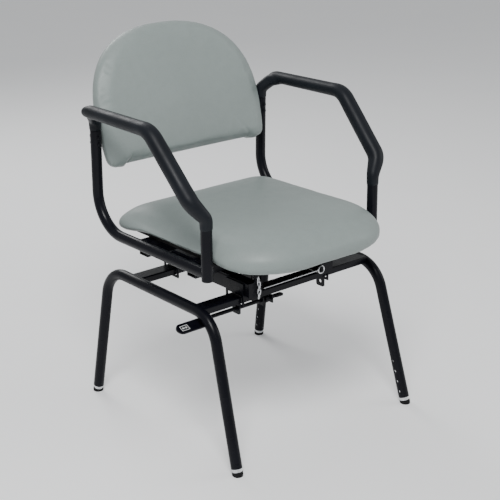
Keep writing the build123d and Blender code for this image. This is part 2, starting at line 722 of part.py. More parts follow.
def post_space():
    """Room that the pad and the panel leave for the strap and the two rear posts."""
    post_r = TUBE_R + 3.1
    posts = []
    for side in SIDES.values():
        x = side * ARM_REAR_X
        posts.append(rod((x, ARM_REAR_Y, 560), (x, ARM_REAR_Y, 720), post_r))
    return [strap_space(0.3), *posts]


def back_strap():
    """Straight steel strap through the back, bolted behind both rear posts."""
    strap = fillet(strap_space(0).edges().filter_by(Axis.Y), 6)
    for x, y, z in screw_places():
        strap -= rod((x, y, z), (x, y + 20, z), SCREW_R + 0.05)
    return strap


def back_fasteners():
    """Screws through the rear posts and the strap, with nuts behind."""
    pieces = []
    front = ARM_REAR_Y - TUBE_R - 0.5
    rear = ARM_REAR_Y + TUBE_R + POST_LEAN_GAP + STRAP_THICK
    for x, _, z in screw_places():
        head = rod((x, front - 2.2, z), (x, front, z), 4.5)
        head = fillet(head.edges().group_by(Axis.Y)[0], 1.6)
        nut = extrude(Plane(origin=(x, rear, z), z_dir=(0, 1, 0)) * RegularPolygon(4.4, 6), 3)
        pieces.append(head + rod((x, front, z), (x, rear + 4, z), SCREW_R) + nut)
    return pieces


# ---------------------------------------------------------------- build every node
for side_name, side in SIDES.items():
    frame = leg_frame(side)
    save(f"leg_frame_{side_name}", frame)
    for end_name, end in ENDS.items():
        save(f"leg_extension_{end_name}_{side_name}", leg_extension(side, end))
        save(f"leg_foot_{end_name}_{side_name}", leg_foot(side, end))
        save(f"leg_button_{end_name}_{side_name}", leg_button(side, end))
    save(f"carriage_channel_{side_name}", carriage_channel(side))
    save(f"arm_frame_{side_name}", arm_frame(side))
    save(f"armrest_{side_name}", armrest(side))

save("cross_rail_front", cross_rail(FRONT_RAIL_Y))
save("cross_rail_rear", cross_rail(REAR_RAIL_Y))
save("lock_rack", lock_rack())

save("channel_end_plates", *channel_end_plates())
save("carriage_plate", carriage_plate())
save("rail_brackets_front", *[rail_bracket(side, FRONT_RAIL_Y, True) for side in SIDES.values()])
save("rail_brackets_rear", *[rail_bracket(side, REAR_RAIL_Y, False) for side in SIDES.values()])
save("rail_glides", *rail_glides())
save("lock_cheeks", *lock_cheeks())
save("latch_pins", *latch_pins())
save("rocker_spring", rocker_spring())
save("lower_race", race(RACE_BOTTOM, BALL_Z - 1.2, BALL_R + 0.1))
save("upper_race", race(BALL_Z + 1.2, TURNTABLE_BOTTOM, BALL_R + 0.4))
save("bearing_balls", *bearing_balls())
save("centre_bolt", centre_bolt())
save("centre_nut", centre_nut())
save("tie_chain", *tie_chain())
save("tie_wire", tie_wire())
save("tie_ring", tie_ring())

save("lever_rod", lever_rod())
save("lever_paddle", lever_paddle())
save("lever_crank", lever_crank())
save("retaining_rings", *retaining_rings())
save("slide_latch", slide_latch())
save("lock_rocker", lock_rocker())
save("swivel_pin", swivel_pin())

save("turntable_plate", turntable_plate())
save("seat_cross_tube_front", seat_cross_tube(SEAT_TUBE_FRONT_Y))
save("seat_cross_tube_rear", seat_cross_tube(SEAT_TUBE_REAR_Y))
save("seat_side_bars", *[bar for side in SIDES.values() for bar in seat_side_bar(side)])
save("side_bar_plugs", *[side_bar_plug(side) for side in SIDES.values()])
save("post_end_caps", *[post_end_cap(side) for side in SIDES.values()])
save("seat_board", seat_board())
save("seat_pad", seat_pad())
save("seat_screws", *seat_screws())

panel_front = BACK_THICK / 2 - PANEL_THICK
save("back_pad", back_slab(-BACK_THICK / 2, panel_front) - post_space())
save("back_panel", back_slab(panel_front, BACK_THICK / 2) - post_space())
save("back_strap", back_strap())
save("back_fasteners", *back_fasteners())
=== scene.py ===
import json
import math

import bpy
import numpy as np
from mathutils import Matrix, Vector


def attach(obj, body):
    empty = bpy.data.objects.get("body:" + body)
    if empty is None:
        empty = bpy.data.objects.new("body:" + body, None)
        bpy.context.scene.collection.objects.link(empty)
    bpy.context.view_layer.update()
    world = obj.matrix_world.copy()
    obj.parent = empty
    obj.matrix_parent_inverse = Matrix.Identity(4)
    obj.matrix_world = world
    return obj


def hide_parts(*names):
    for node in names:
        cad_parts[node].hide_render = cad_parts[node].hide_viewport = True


# Looks of the rotating and sliding assist chair.  Metres, +Z up, the sitter faces -Y.

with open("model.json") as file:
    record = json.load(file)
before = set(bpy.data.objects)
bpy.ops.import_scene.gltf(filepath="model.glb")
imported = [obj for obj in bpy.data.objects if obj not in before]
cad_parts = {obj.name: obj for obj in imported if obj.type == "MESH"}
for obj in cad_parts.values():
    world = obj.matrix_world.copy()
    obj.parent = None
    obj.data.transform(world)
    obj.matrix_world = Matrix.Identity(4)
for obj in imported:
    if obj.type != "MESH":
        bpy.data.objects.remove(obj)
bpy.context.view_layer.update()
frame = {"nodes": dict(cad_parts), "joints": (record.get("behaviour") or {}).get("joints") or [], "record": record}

MM = 0.001
SWIVEL_Y = -12.0
swivel = next(joint for joint in frame["joints"] if joint["name"] == "seat_swivel")
# Pieces are drawn about the middle of the four feet, and this moves them to the frame's origin.
MIDDLE = np.array([swivel["pos_m"][0], swivel["pos_m"][1] - SWIVEL_Y * MM, 0.0])
SIDES = {"left": -1, "right": 1}
ENDS = {"front": -1, "rear": 1}

# ---------------------------------------------------------------- sizes, in millimetres
PAD_VOXEL = 5.0
PAD_SMOOTHING = 6
PAD_SWELL_CAP = 6.0
PAD_START_INSET = 3.0      # the pads start this much thinner, because they swell
PAD_EDGE_SPARE = 1.2       # and this much wider, because smoothing draws their edges in
PAD_OUTLINE_POINTS = 176
CLOTH_PRESSURE = 4.0
CLOTH_FRAMES = 20

SEAT_HALF_WIDTH = 228.5
SEAT_FRONT = -292.0
SEAT_REAR = 220.0
SEAT_EDGE_Z = 446.0
SEAT_REAR_DROP = 4.0
SEAT_DOME = 54.0
SEAT_DOME_POWER = 4.4
SEAT_FRONT_CORNER = 152.0
SEAT_REAR_CORNER = 40.0
SEAT_SIDE_LIFT = 14.0      # the cover's lower edge is higher along the sides
SEAT_LIP_DROP = 5.0        # and lower across the front
SEAT_UNDER_Z = 434.0
SEAT_HEM_Z = 436.2
SEAT_TUCK = 0.06           # share of its size that the cover draws in below the edge
SEAT_GATHER = 0.9          # depth of the gathers where the cover is pulled under

# Where the seat's changes fade in or out, in metres.
SEAT_CLOTH_FADE = (0.462, 0.482)
SEAT_LOW_FADE = (0.438, 0.468)
SEAT_SIDE_FADE = (0.170, 0.215)
SEAT_SIDE_START = (-0.205, -0.120)
SEAT_SIDE_END = (0.080, 0.180)
SEAT_LIP_FADE = (0.180, 0.245)
SEAT_RIM_FADE = (0.16, 0.20)

BACK_HALF_WIDTH = 235.6
BACK_HALF_BOTTOM = 229.7
BACK_WIDEST = 100.0
BACK_HEIGHT = 315.6
BACK_ARCH_POWER = 2.4
BACK_CORNER_R = 24.0
BACK_SAG = 25.5
BACK_LEAN = math.radians(16.5)
BACK_Y = 211.8
BACK_Z = 575.0
BACK_HALF_THICK = 24.0
BACK_MIDDLE = 0.44         # share of its height that the back's rings shrink towards
BACK_CROWN = 2.5
BACK_WRAP_FRONT = 0.8      # roundness of the pad's edge, in front and behind
BACK_WRAP_REAR = 0.35
BACK_CLOTH_FADE = (2.0, 15.0)
BACK_BOTTOM_LIFT = 4.5
BACK_LOBE_DROP = 5.0
BACK_LOBE_FADE = (180.0, 192.0)
# Pleats at the back's lower corners: foot, lean, strength, width and reach.
BACK_PLEATS = (
    (-180.0, 0.35, 9.0, 3.0, 15.0),
    (-204.0, -0.25, 1.6, 6.0, 26.0),
    (190.0, -0.75, 3.4, 6.0, 34.0),
    (212.0, -0.15, 1.6, 5.0, 24.0),
)
PANEL_INSET = 10.0

# Armrests: routes on the +X side, the radii of their bends, and their oval sections
# as (share of length, half width, half thickness).
GRIP_ROUTE = (
    (244, -162, 525),
    (244, -162, 549),
    (271, -147, 585),
    (279, -21, 717),
    (275, 214, 716),
    (278, 240, 712),
)
GRIP_BENDS = (16, 44, 52, 20)
GRIP_SIZES = (
    (0.00, 13.5, 13.5), (0.04, 14.0, 14.0), (0.10, 17.0, 17.4), (0.15, 18.6, 18.6),
    (0.22, 18.8, 18.0), (0.34, 18.8, 18.0), (0.45, 18.6, 17.4), (0.56, 17.6, 15.4),
    (0.85, 17.0, 14.6), (0.945, 16.2, 14.4), (0.97, 13.8, 12.8), (0.99, 9.0, 8.4),
    (1.00, 3.0, 3.0),
)
NECK_ROUTE = ((274, 188, 714), (264, 222, 708), (247, 240, 688), (247, 240, 663))
NECK_BENDS = (14, 12)
NECK_SIZES = (
    (0.0, 12.0, 12.0), (0.4, 15.6, 15.4), (0.7, 14.6, 14.6), (0.9, 13.5, 13.5),
    (1.0, 13.2, 13.2),
)
ARM_STEP = 3.0
ARM_RING_POINTS = 28
ARM_OVAL_POWER = 2.25
ARM_VOXEL = 2.4
ARM_SMOOTHING = 9

FOOT_X = 260.0
FOOT_Y = 273.0
FRAME_X = 246.0
FRAME_FRONT_Y = -178.0
FRAME_REAR_Y = 213.0
FRAME_Z = 334.0
FOOT_RING_POINTS = 48
# Section of a rubber foot, as (height along the leg, radius).
FOOT_PROFILE = (
    (-4.0, 11.2), (0.6, 11.5), (1.6, 12.2), (2.8, 12.3), (3.1, 11.8), (3.7, 11.8),
    (4.0, 12.3), (5.0, 12.3), (5.3, 11.8), (5.9, 11.8), (6.2, 12.2), (7.3, 12.0),
    (8.0, 11.2), (8.3, 10.6), (7.9, 9.8),
)

LEVER_Y = -133.0
LEVER_Z = 313.0
PADDLE_TILT = math.radians(25.0)
PADDLE_HALF_THICK = 2.0
SYMBOL_X = (-302.0, -282.0)
SYMBOL_Y = (-15.0, -1.0)
SYMBOL_LINE = 1.1
PRINT_SUNK = 0.05
PRINT_PROUD = 0.15

CAMERA_LENS = 87.84
CAMERA_SENSOR = 36.0
CAMERA_PLACE = (-1.7012, -2.0689, 1.3505)
CAMERA_RIGHT = (0.7683, -0.6400, -0.0117)
CAMERA_UP = (0.2266, 0.2551, 0.9401)
CAMERA_BACK = (-0.5986, -0.7249, 0.3410)

FLOOR_REACH = 12000.0
WORLD_COLOUR = (0.96, 0.98, 1.0, 1.0)
WORLD_STRENGTH = 0.58
LIGHT_TARGET = (0.0, 0.0, 0.5)
# Name, place in metres, size and power of each light.
LIGHTS = (
    ("key", (-1.4, -1.5, 2.9), 1.3, 92.0),
    ("fill", (2.6, -1.6, 1.6), 1.8, 16.0),
    ("rim", (0.4, 2.6, 2.3), 1.6, 40.0),
)


# ---------------------------------------------------------------- mesh helpers
def smooth_object(name, vertices, faces):
    """A smooth-shaded mesh object from points in millimetres."""
    mesh = bpy.data.meshes.new(name)
    mesh.from_pydata([tuple(MM * np.array(v) + MIDDLE) for v in vertices], [], faces)
    mesh.validate()
    piece = bpy.data.objects.new(name, mesh)
    bpy.context.scene.collection.objects.link(piece)
    mesh.shade_smooth()
    return piece


def ring_faces(ring_count, size):
    """Quads between successive rings of points, with a cap at each end."""
    faces = []
    for i in range(ring_count - 1):
        for j in range(size):
            k = (j + 1) % size
            faces.append((i * size + j, i * size + k, (i + 1) * size + k, (i + 1) * size + j))
    faces.append(tuple(reversed(range(size))))
    faces.append(tuple(range((ring_count - 1) * size, ring_count * size)))
    return faces


def loft(name, rings):
    """A closed piece through rings of equally many points."""
    vertices = [point for ring in rings for point in ring]
    return smooth_object(name, vertices, ring_faces(len(rings), len(rings[0])))


def coordinates(mesh):
    """The mesh's points in metres, about the middle of the four feet."""
    co = np.empty(len(mesh.vertices) * 3, np.float32)
    mesh.vertices.foreach_get("co", co)
    return co.reshape(-1, 3).astype(float) - MIDDLE


def set_coordinates(mesh, co):
    mesh.vertices.foreach_set("co", (co + MIDDLE).astype(np.float32).ravel())
    mesh.update()


def bake_modifiers(piece):
    """Replaces the piece's mesh with what its modifiers make of it."""
    graph = bpy.context.evaluated_depsgraph_get()
    graph.update()
    mesh = bpy.data.meshes.new_from_object(piece.evaluated_get(graph))
    piece.modifiers.clear()
    piece.data = mesh
    mesh.shade_smooth()


def relax(piece, iterations):
    smooth = piece.modifiers.new("Smooth", "SMOOTH")
    smooth.factor = 0.5
    smooth.iterations = iterations


def voxel_remesh(piece, voxel, smoothing):
    """Fuses the piece into one even skin."""
    remesh = piece.modifiers.new("Remesh", "REMESH")
    remesh.mode = "VOXEL"
    remesh.voxel_size = voxel * MM
    relax(piece, smoothing)
    bake_modifiers(piece)


def subdivide(piece):
    """Smooths a pad once more and halves its mesh size."""
    relax(piece, PAD_SMOOTHING)
    subdivision = piece.modifiers.new("Subdivision", "SUBSURF")
    subdivision.levels = 1
    subdivision.render_levels = 1
    bake_modifiers(piece)


def inflate(piece, cap, share):
    """Lets cloth pressure swell a pad; share says how much of it each point takes."""
    start = coordinates(piece.data)
    cloth = piece.modifiers.new("Cloth", "CLOTH")
    cloth.settings.use_pressure = True
    cloth.settings.uniform_pressure_force = CLOTH_PRESSURE
    cloth.settings.effector_weights.gravity = 0.0
    cloth.settings.quality = 5
    cloth.point_cache.frame_start = 1
    cloth.point_cache.frame_end = CLOTH_FRAMES
    scene = bpy.context.scene
    for number in range(1, CLOTH_FRAMES + 1):
        scene.frame_set(number)
    graph = bpy.context.evaluated_depsgraph_get()
    swollen = coordinates(piece.evaluated_get(graph).data)
    piece.modifiers.clear()
    scene.frame_set(1)
    move = swollen - start
    length = np.linalg.norm(move, axis=1, keepdims=True)
    move *= np.minimum(1.0, cap * MM / np.maximum(length, 1e-9))
    set_coordinates(piece.data, start + move * share(start)[:, None])


def smoothstep(value, low, high):
    """0 below the low value, 1 above the high one and an even slope between."""
    t = np.clip((value - low) / (high - low), 0.0, 1.0)
    return t * t * (3.0 - 2.0 * t)


def power_curve(angle, power):
    """Cosine and sine of a superellipse's angle."""
    c, s = math.cos(angle), math.sin(angle)
    return math.copysign(abs(c) ** (2 / power), c), math.copysign(abs(s) ** (2 / power), s)


def even_outline(points):
    """The closed line through the points, as evenly spaced points."""
    line = np.array(list(points) + [points[0]], float)
    steps = np.linalg.norm(np.diff(line, axis=0), axis=1)
    along = np.concatenate([[0.0], np.cumsum(steps)])
    at = np.linspace(0.0, along[-1], PAD_OUTLINE_POINTS + 1)[:-1]
    return np.stack([np.interp(at, along, line[:, i]) for i in range(line.shape[1])], axis=1)


# ---------------------------------------------------------------- material helpers
class Paint:
    """A Principled material with short calls for its procedural nodes."""

    def __init__(self, name, colour, roughness, metallic=0.0):
        self.material = bpy.data.materials.new(name)
        self.material.use_nodes = True
        self.nodes = self.material.node_tree.nodes
        self.links = self.material.node_tree.links
        self.shader = self.nodes["Principled BSDF"]
        self.place = self.nodes.new("ShaderNodeTexCoord").outputs["Object"]
        self.colour = colour
        self.shader.inputs["Base Color"].default_value = (*colour, 1.0)
        self.shader.inputs["Roughness"].default_value = roughness
        self.shader.inputs["Metallic"].default_value = metallic

    def noise(self, scale, detail=3.0, stretch=None):
        node = self.nodes.new("ShaderNodeTexNoise")
        node.inputs["Scale"].default_value = scale
        node.inputs["Detail"].default_value = detail
        place = self.place
        if stretch:
            mapping = self.nodes.new("ShaderNodeMapping")
            mapping.inputs["Scale"].default_value = stretch
            self.links.new(place, mapping.inputs["Vector"])
            place = mapping.outputs["Vector"]
        self.links.new(place, node.inputs["Vector"])
        return node.outputs["Fac"]

    def cells(self, scale):
        node = self.nodes.new("ShaderNodeTexVoronoi")
        node.inputs["Scale"].default_value = scale
        self.links.new(self.place, node.inputs["Vector"])
        return node.outputs["Distance"]

    def spread(self, value, low, high, start=0.3, end=0.7):
        node = self.nodes.new("ShaderNodeMapRange")
        node.inputs["From Min"].default_value = start
        node.inputs["From Max"].default_value = end
        node.inputs["To Min"].default_value = low
        node.inputs["To Max"].default_value = high
        self.links.new(value, node.inputs["Value"])
        return node.outputs["Result"]

    def tint(self, value, other, amount, start=0.35, end=0.65):
        """Mixes the other colour in by the value; a second call goes over the first."""
        node = self.nodes.new("ShaderNodeMix")
        node.data_type = "RGBA"
        base = self.shader.inputs["Base Color"]
        if base.is_linked:
            self.links.new(base.links[0].from_socket, node.inputs[6])
        else:
            node.inputs[6].default_value = (*self.colour, 1.0)
        node.inputs[7].default_value = (*other, 1.0)
        self.links.new(self.spread(value, 0.0, amount, start, end), node.inputs["Factor"])
        self.links.new(node.outputs[2], base)

    def rough(self, value, low, high):
        self.links.new(self.spread(value, low, high), self.shader.inputs["Roughness"])

    def bump(self, value, strength, depth):
        """Adds relief; a later call lies on top of an earlier one."""
        node = self.nodes.new("ShaderNodeBump")
        node.inputs["Strength"].default_value = strength
        node.inputs["Distance"].default_value = depth * MM
        normal = self.shader.inputs["Normal"]
        if normal.is_linked:
            self.links.new(normal.links[0].from_socket, node.inputs["Normal"])
        self.links.new(value, node.inputs["Height"])
        self.links.new(node.outputs["Normal"], normal)


def powder_coat():
    paint = Paint("powder_coat", (0.0026, 0.0028, 0.0050), 0.30)
    paint.shader.inputs["Specular IOR Level"].default_value = 0.14
    paint.tint(paint.noise(9.0), (0.0044, 0.0048, 0.0078), 0.8)
    paint.tint(paint.noise(160.0, 6.0), (0.0120, 0.0125, 0.0160), 0.5, 0.68, 0.80)
    paint.rough(paint.noise(35.0, 5.0), 0.22, 0.34)
    paint.bump(paint.noise(620.0, 2.0), 0.20, 0.12)
    paint.bump(paint.noise(1900.0, 2.0), 0.12, 0.05)
    return paint.material


def zinc_plate():
    paint = Paint("zinc_plate", (0.72, 0.73, 0.74), 0.2, 1.0)
    paint.tint(paint.noise(90.0, 4.0), (0.56, 0.57, 0.60), 0.7)
    paint.tint(paint.noise(420.0, 5.0), (0.38, 0.38, 0.40), 0.45, 0.62, 0.75)
    paint.rough(paint.noise(240.0, 5.0), 0.14, 0.34)
    paint.bump(paint.noise(1500.0, 3.0), 0.15, 0.05)
    return paint.material


def oiled_steel():
    paint = Paint("oiled_steel", (0.36, 0.36, 0.37), 0.38, 1.0)
    paint.tint(paint.noise(70.0, 5.0), (0.22, 0.215, 0.21), 0.7)
    paint.rough(paint.noise(130.0, 5.0), 0.28, 0.50)
    paint.bump(paint.noise(900.0, 3.0, (1.0, 1.0, 12.0)), 0.2, 0.06)
    return paint.material


def foot_rubber():
    paint = Paint("foot_rubber", (0.006, 0.006, 0.007), 0.78)
    paint.shader.inputs["Specular IOR Level"].default_value = 0.22
    paint.tint(paint.noise(120.0, 5.0), (0.018, 0.0175, 0.017), 0.6, 0.5, 0.75)
    paint.rough(paint.noise(90.0, 4.0), 0.66, 0.88)
    paint.bump(paint.noise(1300.0, 4.0), 0.3, 0.12)
    return paint.material


def arm_skin():
    """Self-skinned polyurethane with a fine pebble."""
    paint = Paint("arm_skin", (0.0040, 0.0054, 0.0084), 0.46)
    paint.shader.inputs["Specular IOR Level"].default_value = 0.20
    paint.tint(paint.noise(14.0), (0.0066, 0.0090, 0.0130), 0.9)
    paint.tint(paint.cells(1100.0), (0.0022, 0.0028, 0.0042), 0.5, 0.45, 0.80)
    paint.rough(paint.noise(26.0, 5.0), 0.40, 0.54)
    paint.bump(paint.cells(1100.0), 0.30, 0.14)
    paint.bump(paint.noise(300.0, 3.0), 0.10, 0.15)
    return paint.material


def black_plastic():
    paint = Paint("black_plastic", (0.0050, 0.0050, 0.0062), 0.52)
    paint.shader.inputs["Specular IOR Level"].default_value = 0.22
    paint.tint(paint.noise(18.0), (0.0085, 0.0085, 0.0098), 0.7)
    paint.rough(paint.noise(40.0, 4.0), 0.44, 0.60)
    paint.bump(paint.noise(1000.0, 4.0), 0.35, 0.12)
    return paint.material


def nylon():
    paint = Paint("nylon", (0.56, 0.56, 0.52), 0.42)
    paint.tint(paint.noise(60.0, 4.0), (0.42, 0.41, 0.37), 0.6)
    paint.rough(paint.noise(110.0, 4.0), 0.34, 0.52)
    paint.bump(paint.noise(800.0, 3.0), 0.12, 0.08)
    return paint.material


def stained_board():
    paint = Paint("stained_board", (0.0070, 0.0064, 0.0066), 0.66)
    paint.shader.inputs["Specular IOR Level"].default_value = 0.2
    grain = paint.noise(26.0, 6.0, (1.0, 9.0, 14.0))
    paint.tint(grain, (0.0150, 0.0130, 0.0120), 0.8)
    paint.rough(grain, 0.56, 0.78)
    paint.bump(grain, 0.3, 0.25)
    return paint.material


def upholstery_vinyl():
    """Grey-green coated fabric with a leather-like pebble."""
    paint = Paint("upholstery_vinyl", (0.222, 0.258, 0.248), 0.44)
    paint.shader.inputs["Specular IOR Level"].default_value = 0.30
    paint.tint(paint.noise(5.0, 4.0), (0.242, 0.279, 0.269), 0.7)
    paint.tint(paint.noise(48.0, 5.0), (0.205, 0.240, 0.230), 0.35)
    paint.tint(paint.cells(820.0), (0.160, 0.190, 0.182), 0.35, 0.50, 0.85)
    paint.rough(paint.noise(20.0, 5.0), 0.38, 0.50)
    paint.bump(paint.cells(820.0), 0.26, 0.16)
    paint.bump(paint.noise(2400.0, 3.0), 0.12, 0.05)
    paint.bump(paint.noise(28.0, 3.0), 0.10, 0.9)
    return paint.material


def white_print():
    paint = Paint("white_print", (0.70, 0.71, 0.71), 0.5)
    paint.tint(paint.noise(700.0, 5.0), (0.34, 0.35, 0.36), 0.6, 0.58, 0.74)
    paint.bump(paint.noise(1500.0, 3.0), 0.15, 0.03)
    return paint.material


def pale_floor():
    paint = Paint("pale_floor", (0.94, 0.94, 0.94), 0.8)
    paint.tint(paint.noise(3.0, 3.0), (0.925, 0.925, 0.93), 0.6)
    return paint.material


MATERIALS = {
    "frame_black": powder_coat(),
    "bright_plate": zinc_plate(),
    "bare_steel": oiled_steel(),
    "foot_rubber": foot_rubber(),
    "arm_polyurethane": arm_skin(),
    "black_plastic": black_plastic(),
    "nylon": nylon(),
    "plywood": stained_board(),
    "grey_vinyl": upholstery_vinyl(),
}


def dress(piece, material):
    piece.data.materials.clear()
    piece.data.materials.append(material)


def dress_cad_nodes():
    """Every CAD node gets the material of its slot in the record."""
    for part in frame["record"]["subparts"]:
        dress(frame["nodes"][part["node"]], MATERIALS[part["material_slot"]])


def finish_piece(piece, body, slot, *nodes):
    """Dresses a new piece in the material of its slot, puts it on its body and hides the CAD nodes that it stands
    for.
    """
    dress(piece, MATERIALS[slot])
    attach(piece, body)
    if nodes:
        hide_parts(*nodes)


# ---------------------------------------------------------------- seat pad
def seat_outline():
    """Rounded rectangle of the seat, evenly spaced, with its large corners at the front."""
    points = []
    for side, end, start in ((1, 1, 0), (-1, 1, 90), (-1, -1, 180), (1, -1, 270)):
        radius = SEAT_REAR_CORNER if end > 0 else SEAT_FRONT_CORNER
        x = side * (SEAT_HALF_WIDTH + PAD_EDGE_SPARE - radius)
        y = (SEAT_REAR if end > 0 else SEAT_FRONT) + end * (PAD_EDGE_SPARE - radius)
        for k in range(17):
            turn = math.radians(start + 90 * k / 16)
            points.append((x + radius * math.cos(turn), y + radius * math.sin(turn)))
    return even_outline(points)


def seat_ring(outline, scale, z, lumps=0.0):
    """One closed ring of the seat pad, scaled about the seat's middle; lumps is a waviness."""
    middle = (SEAT_FRONT + SEAT_REAR) / 2
    half_depth = (SEAT_REAR - SEAT_FRONT) / 2
    ring = []
    for x, y in outline:
        angle = math.atan2(y - middle, x)
        wave = math.sin(11 * angle + 0.7) + 0.6 * math.sin(23 * angle + 2.1)
        drop = SEAT_REAR_DROP * (y - middle) / half_depth * scale
        height = z - drop * (z > SEAT_HEM_Z) + lumps * wave
        ring.append((x * scale, middle + (y - middle) * scale, height))
    return ring


def seat_pad():
    """Domed pad whose cover is drawn round the edge and stapled under the board."""
    outline = seat_outline()
    rings = []
    for k in np.linspace(88.0, 0.0, 30):
        lift = math.sin(math.radians(k))
        scale = math.cos(math.radians(k)) ** (2 / SEAT_DOME_POWER)
        rings.append(seat_ring(outline, scale, SEAT_EDGE_Z + (SEAT_DOME - PAD_START_INSET) * lift))
    for k in (20.0, 40.0, 60.0, 78.0, 90.0):
        fall = (SEAT_EDGE_Z - SEAT_UNDER_Z) * math.sin(math.radians(k))
        tuck = SEAT_TUCK * (1 - math.cos(math.radians(k)))
        rings.append(seat_ring(outline, 1 - tuck, SEAT_EDGE_Z - fall, 0.5 * k / 90))
    rings.append(seat_ring(outline, 0.89, SEAT_HEM_Z, 0.3))
    rings.append(seat_ring(outline, 0.85, SEAT_HEM_Z + 1.0))
    rings.append(seat_ring(outline, 0.84, SEAT_HEM_Z + 7.0))
    pad = loft("seat_pad_cover", rings)
    voxel_remesh(pad, PAD_VOXEL, PAD_SMOOTHING)
    inflate(pad, PAD_SWELL_CAP, seat_top_share)
    subdivide(pad)
    pull_seat_edge(pad)
    finish_piece(pad, "seat", "grey_vinyl", "seat_pad")


def seat_top_share(co):
    return smoothstep(co[:, 2], *SEAT_CLOTH_FADE)


def pull_seat_edge(pad):
    """Shapes the lower edge: raised at the sides, hanging at the front, gathered underneath."""
    co = coordinates(pad.data)
    x, y, z = co[:, 0], co[:, 1], co[:, 2]
    middle = MM * (SEAT_FRONT + SEAT_REAR) / 2
    low = 1.0 - smoothstep(z, *SEAT_LOW_FADE)
    sides = smoothstep(np.abs(x), *SEAT_SIDE_FADE) * smoothstep(y, *SEAT_SIDE_START)
    sides *= 1.0 - smoothstep(y, *SEAT_SIDE_END)
    front = smoothstep(-y, *SEAT_LIP_FADE)
    angle = np.arctan2(y - middle, x)
    corner = np.exp(-((np.abs(np.abs(angle) - 0.75) / 0.22) ** 2)) * (0.4 + 0.6 * (y > 0))
    gather = (0.25 + corner) * SEAT_GATHER * MM * np.sin(58 * angle + 2.0 * np.sin(5 * angle))
    direction = co[:, :2] - np.array([0.0, middle])
    direction /= np.maximum(np.linalg.norm(direction, axis=1, keepdims=True), 1e-6)
    edge = smoothstep(np.hypot(x, y - middle), *SEAT_RIM_FADE)
    fold = smoothstep(0.456 - z, 0.0, 0.018)
    co[:, 2] += MM * (SEAT_SIDE_LIFT * sides - SEAT_LIP_DROP * front) * low
    co[:, :2] -= direction * (gather * fold * edge)[:, None]
    set_coordinates(pad.data, co)


# ---------------------------------------------------------------- back pad and its shell
def back_outline():
    """Flat-bottomed arch, evenly spaced, in the pad's own width and height."""
    right = []
    for k in range(13):
        turn = math.radians(-90 + 90 * k / 12)
        x = BACK_HALF_BOTTOM - BACK_CORNER_R + BACK_CORNER_R * math.cos(turn)
        right.append((x, BACK_CORNER_R + BACK_CORNER_R * math.sin(turn)))
    for k in range(1, 9):
        t = k / 9
        flare = (BACK_HALF_WIDTH - BACK_HALF_BOTTOM) * math.sin(math.pi / 2 * t)
        right.append((BACK_HALF_BOTTOM + flare, BACK_CORNER_R + t * (BACK_WIDEST - BACK_CORNER_R)))
    for k in range(41):
        c, s = power_curve(math.pi / 2 * k / 40, BACK_ARCH_POWER)
        right.append((BACK_HALF_WIDTH * max(c, 0.0), BACK_WIDEST + (BACK_HEIGHT - BACK_WIDEST) * s))
    left = [(-x, z) for x, z in reversed(right[:-1])]
    return even_outline(right + left)


def back_place(u, v, t):
    """A point of the back, from its width, height and depth to the chair's own frame."""
    y = BACK_SAG * (1 - (u / BACK_HALF_WIDTH) ** 2) + t
    c, s = math.cos(BACK_LEAN), math.sin(BACK_LEAN)
    return u, BACK_Y + y * c + v * s, BACK_Z + v * c - y * s


def back_ring(outline, inset, scale, t):
    """One ring of the back at depth t, drawn in by an inset and then scaled."""
    middle = np.array([0.0, BACK_MIDDLE * BACK_HEIGHT])
    ring = []
    for point in outline:
        arm = point - middle
        reach = np.linalg.norm(arm)
        u, v = middle + arm * (1 - inset / reach) * scale
        ring.append(back_place(u, v, t))
    return ring


def back_pad():
    """Crowned pad, with its cover wrapped over the edge of the shell behind it."""
    outline = back_outline()
    front = BACK_HALF_THICK - PAD_START_INSET
    rings = []
    for scale in (0.02, 0.15, 0.3, 0.45, 0.6, 0.72, 0.82, 0.9, 0.96):
        crown = BACK_CROWN * (1 - scale**2)
        rings.append(back_ring(outline, BACK_WRAP_FRONT * front, scale, -front - crown))
    for k in (90.0, 76.0, 62.0, 48.0, 34.0, 20.0, 8.0, -8.0, -22.0, -38.0, -54.0, -70.0, -85.0):
        roundness = BACK_WRAP_FRONT if k > 0 else BACK_WRAP_REAR
        inset = roundness * front * (1 - math.cos(math.radians(k))) - PAD_EDGE_SPARE
        rings.append(back_ring(outline, inset, 1.0, -front * math.sin(math.radians(k))))
    rings.append(back_ring(outline, 24.0, 1.0, front - 1.0))
    rings.append(back_ring(outline, 27.0, 1.0, front - 7.0))
    pad = loft("back_pad_cover", rings)
    voxel_remesh(pad, PAD_VOXEL, PAD_SMOOTHING)
    inflate(pad, PAD_SWELL_CAP, back_front_share)
    subdivide(pad)
    pleat_back(pad)
    finish_piece(pad, "seat", "grey_vinyl", "back_pad")


def back_local(co):
    """Width, height and depth of points in the back's own directions, in millimetres."""
    p = co / MM
    c, s = math.cos(BACK_LEAN), math.sin(BACK_LEAN)
    y, z = p[:, 1] - BACK_Y, p[:, 2] - BACK_Z
    u, v, depth = p[:, 0], z * c + y * s, y * c - z * s
    return u, v, depth - BACK_SAG * (1 - (u / BACK_HALF_WIDTH) ** 2)


def back_front_share(co):
    return smoothstep(-back_local(co)[2], *BACK_CLOTH_FADE)


